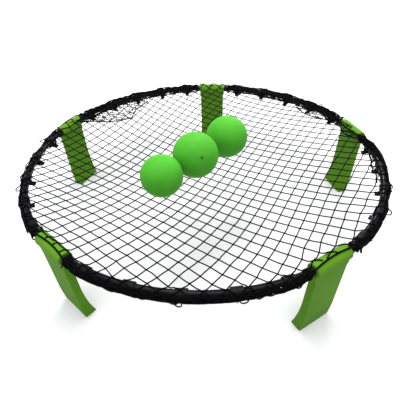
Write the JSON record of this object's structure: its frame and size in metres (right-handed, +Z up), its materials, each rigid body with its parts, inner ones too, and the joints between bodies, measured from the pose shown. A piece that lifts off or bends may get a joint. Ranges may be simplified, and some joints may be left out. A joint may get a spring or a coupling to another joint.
{
  "type": "roundnet set",
  "caption": "Round net on a low ring with folding legs and bouncing rubber balls, for the lawn game of roundnet.",
  "frame": {"origin": "on the ground at the centre of the ring", "axes": "+Z up; +Y points from the centre to leg 1, and the legs are numbered anticlockwise seen from above"},
  "size_m": [0.9258, 0.9302, 0.3114],
  "materials": {
    "leg_plastic": "satin moulded polypropylene",
    "fitting_plastic": "satin moulded",
    "tube_plastic": "glossy black",
    "net_cord": "knotted nylon cord",
    "edge_cord": "braided cord",
    "ball_rubber": "smooth, slightly shiny",
    "valve_rubber": "matte"
  },
  "bodies": {
    "ring": {"joiner_1": "fitting_plastic", "joiner_2": "fitting_plastic", "joiner_3": "fitting_plastic", "joiner_4": "fitting_plastic", "joiner_5": "fitting_plastic", "rim_tube_1": "tube_plastic", "rim_tube_2": "tube_plastic", "rim_tube_3": "tube_plastic", "rim_tube_4": "tube_plastic", "rim_tube_5": "tube_plastic", "end_collar_1": "fitting_plastic", "end_collar_2": "fitting_plastic", "end_collar_3": "fitting_plastic", "end_collar_4": "fitting_plastic", "end_collar_5": "fitting_plastic", "end_collar_6": "fitting_plastic", "end_collar_7": "fitting_plastic", "end_collar_8": "fitting_plastic", "end_collar_9": "fitting_plastic", "end_collar_10": "fitting_plastic", "net_hook_1": "fitting_plastic", "net_hook_2": "fitting_plastic", "net_hook_3": "fitting_plastic", "net_hook_4": "fitting_plastic", "net_hook_5": "fitting_plastic", "net_hook_6": "fitting_plastic", "net_hook_7": "fitting_plastic", "net_hook_8": "fitting_plastic", "net_hook_9": "fitting_plastic", "net_hook_10": "fitting_plastic", "net_hook_11": "fitting_plastic", "net_hook_12": "fitting_plastic", "net_hook_13": "fitting_plastic", "net_hook_14": "fitting_plastic", "net_hook_15": "fitting_plastic", "net_hook_16": "fitting_plastic", "net_hook_17": "fitting_plastic", "net_hook_18": "fitting_plastic", "net_hook_19": "fitting_plastic", "net_hook_20": "fitting_plastic", "net_hook_21": "fitting_plastic", "net_hook_22": "fitting_plastic", "net_hook_23": "fitting_plastic", "net_hook_24": "fitting_plastic", "net_hook_25": "fitting_plastic", "net": "net_cord", "edge_rope": "edge_cord", "rope_knot": "edge_cord"},
    "leg_1": {"leg_1": "leg_plastic"},
    "leg_2": {"leg_2": "leg_plastic"},
    "leg_3": {"leg_3": "leg_plastic"},
    "leg_4": {"leg_4": "leg_plastic"},
    "leg_5": {"leg_5": "leg_plastic"},
    "ball_1": {"ball_1": "ball_rubber", "ball_valve_1": "valve_rubber"},
    "ball_2": {"ball_2": "ball_rubber", "ball_valve_2": "valve_rubber"},
    "ball_3": {"ball_3": "ball_rubber", "ball_valve_3": "valve_rubber"}
  },
  "joints": [
    {"name": "leg_1_fold", "type": "hinge", "parent": "ring", "child": "leg_1", "pos_m": [0, 0.44784, 0.195], "axis": [-1, 0, 0], "range_deg": [0, 85]},
    {"name": "leg_2_fold", "type": "hinge", "parent": "ring", "child": "leg_2", "pos_m": [-0.42592, 0.13839, 0.195], "axis": [-0.309, -0.9511, 0], "range_deg": [0, 85]},
    {"name": "leg_3_fold", "type": "hinge", "parent": "ring", "child": "leg_3", "pos_m": [-0.26324, -0.36231, 0.195], "axis": [0.809, -0.5878, 0], "range_deg": [0, 85]},
    {"name": "leg_4_fold", "type": "hinge", "parent": "ring", "child": "leg_4", "pos_m": [0.26324, -0.36231, 0.195], "axis": [0.809, 0.5878, 0], "range_deg": [0, 85]},
    {"name": "leg_5_fold", "type": "hinge", "parent": "ring", "child": "leg_5", "pos_m": [0.42592, 0.13839, 0.195], "axis": [-0.309, 0.9511, 0], "range_deg": [0, 85]},
    {"name": "ball_1_lift", "type": "slide", "parent": "ring", "child": "ball_1", "axis": [0, 0, 1], "range_m": [0, 0.3]},
    {"name": "ball_2_lift", "type": "slide", "parent": "ring", "child": "ball_2", "axis": [0, 0, 1], "range_m": [0, 0.3]},
    {"name": "ball_3_lift", "type": "slide", "parent": "ring", "child": "ball_3", "axis": [0, 0, 1], "range_m": [0, 0.3]}
  ]
}
